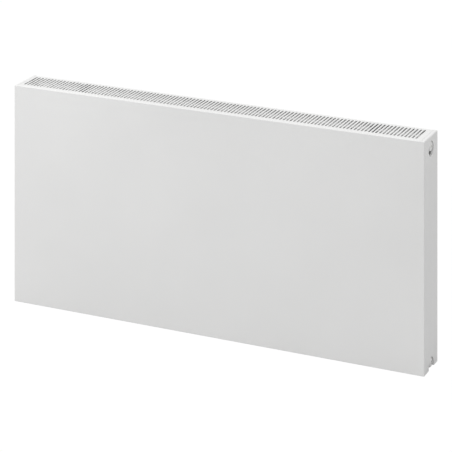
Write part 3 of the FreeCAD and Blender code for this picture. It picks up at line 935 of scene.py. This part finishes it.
def make_left_tee(name, node):
    """A tee between the panels whose collar has a cut pipe thread.

    Its rods differ in step count, so that no edges of the booleans fall on each other.
    """
    low, high = box_mm(node)
    z = (low.z + high.z) / 2
    axis_x = high.x - TEE_RADIUS
    reach = axis_x - low.x + BEYOND_AXIS
    piece = rod(TEE_RADIUS, "Y", (axis_x, low.y, z), high.y - low.y, 56)
    piece.name = name
    combine(piece, rod(COLLAR_RADIUS, "X", (low.x, PORT_Y, z), reach, 54), "UNION")
    bore = rod(TEE_BORE, "Y", (axis_x, low.y - RUN_OUT, z), high.y - low.y + 2 * RUN_OUT, 50)
    combine(piece, bore, "DIFFERENCE")
    way = rod(COLLAR_WAY, "X", (low.x - RUN_OUT, PORT_Y, z), reach + RUN_OUT, 46)
    combine(piece, way, "DIFFERENCE")
    combine(piece, thread_cutter(low.x - THREAD_OVERHANG, z), "DIFFERENCE")
    complete(piece, "radiator", GRAINED_LACQUER_WITH_PAINTED_LIGHT, [node], angle=30)


FILLET_STEPS = 72
FILLET_SWELL = 0.10
FILLET_PROFILE = ((0, -0.3), (2.6, -0.3), (2.5, 0.5), (1.9, 1.4), (1.0, 2.1), (0.2, 2.5), (-0.4, 2.5))


def weld_ring(build, centre, radius, towards):
    """A rippled fillet bead round a tube along Y, on the panel at centre. towards is its side, 1 or -1."""
    stations = []
    for i in range(FILLET_STEPS):
        angle = 2 * math.pi * i / FILLET_STEPS
        swell = 1 + FILLET_SWELL * math.sin(math.pi * i * 2 / 3) + random.uniform(-0.04, 0.04)
        stations.append(lambda u, v, c=math.cos(angle), s=math.sin(angle), k=swell:
                        (centre[0] + (radius + u * k) * c, centre[1] + towards * v * k,
                         centre[2] + (radius + u * k) * s))
    sweep(build, FILLET_PROFILE, stations, closed_path=True)


def make_tee_welds():
    """A bead at both ends of all four tees."""
    build = bmesh.new()
    right_x = RIGHT_TEE_LOW.x + TEE_RADIUS
    left_x = TEE_HIGH.x - TEE_RADIUS
    for x in (left_x, right_x):
        for z in (LOW_Z, HIGH_Z):
            weld_ring(build, (x, TEE_LOW.y, z), TEE_RADIUS, 1)
            weld_ring(build, (x, TEE_HIGH.y, z), TEE_RADIUS, -1)
    complete(to_object("tee_welds", build), "radiator", GRAINED_LACQUER_WITH_PAINTED_LIGHT, angle=60)


LUG_FOOT_EDGE = 23.0
LUG_X = 13.5 * CHANNEL_PITCH
LUG_MIDDLES_Z = (90.0, 507.0)
LUG_BEAD_HALF = 18.0
LUG_BEAD_DEPTH = 0.2


def make_lug_welds():
    """Beads down both feet of each hanging lug."""
    build = bmesh.new()
    low, _ = box_mm("hanging_lugs")
    y = low.y + LUG_BEAD_DEPTH
    for lug_x in (-LUG_X, LUG_X):
        for z in LUG_MIDDLES_Z:
            for side in (-1, 1):
                x = lug_x + side * LUG_FOOT_EDGE
                slant = Vector((side, 1, 0)).normalized()
                weld_line(build, start=(x, y, z - LUG_BEAD_HALF), end=(x, y, z + LUG_BEAD_HALF),
                          across=(slant.y, -slant.x, 0), out=slant, width=4.0, height=1.6, pitch=2.4)
    complete(to_object("lug_welds", build), "radiator", GRAINED_LACQUER_WITH_PAINTED_LIGHT, angle=60)


# ---- carried-over nodes --------------------------------------------------------------------------

def dress(node, material, bevel=0.0, segments=2):
    """A carried-over CAD node gets its material and, if wanted, softened edges."""
    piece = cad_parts[node]
    piece.data.materials.clear()
    piece.data.materials.append(material)
    if bevel:
        modifier = piece.modifiers.new("soft_edges", "BEVEL")
        modifier.width = bevel * MM
        modifier.segments = segments
        modifier.limit_method = "ANGLE"
        modifier.angle_limit = math.radians(50)


def dress_carried_nodes():
    """Materials and soft edges for the CAD nodes that are shown as they are."""
    dress("adhesive_strips", GLUE, 1.5, 3)
    for node in ("grille_clips", "left_cover_clips", "right_cover_clips"):
        dress(node, SPRING, 0.2)
    for node in ("port_tee_top_right", "port_tee_bottom_right"):
        dress(node, GRAINED_LACQUER_WITH_PAINTED_LIGHT)
    dress("hanging_lugs", LACQUER, 0.9, 3)
    for node in ("blanking_plug", "vent_plug"):
        dress(node, LACQUER)
    for node in ("blanking_plug_seal", "vent_plug_seal", "vent_spindle_seal"):
        dress(node, RUBBER)
    dress("vent_nozzle", PLASTIC, 0.25)
    dress("vent_spindle", NICKEL, 0.2)


make_stage()
make_front_plate()
make_cover("right_cover_skin", "right_cover", "right_side_cover", False)
make_cover("left_cover_skin", "left_cover", "left_side_cover", True)
make_grille()
make_panel_sheet("front_panel_outer_sheet", FRONT_SEAM_Y, -1)
make_panel_sheet("front_panel_inner_sheet", FRONT_SEAM_Y, 1)
make_panel_sheet("rear_panel_inner_sheet", REAR_SEAM_Y, -1)
make_panel_sheet("rear_panel_outer_sheet", REAR_SEAM_Y, 1)
make_spot_marks()
make_seam_welds()
make_convector("front_convector", FRONT_FIN_LOW, FRONT_FIN_HIGH, True)
make_convector("rear_convector", REAR_FIN_LOW, REAR_FIN_HIGH, False)
make_left_tee("tee_top_left_threaded", "port_tee_top_left")
make_left_tee("tee_bottom_left_threaded", "port_tee_bottom_left")
make_tee_welds()
make_lug_welds()
dress_carried_nodes()
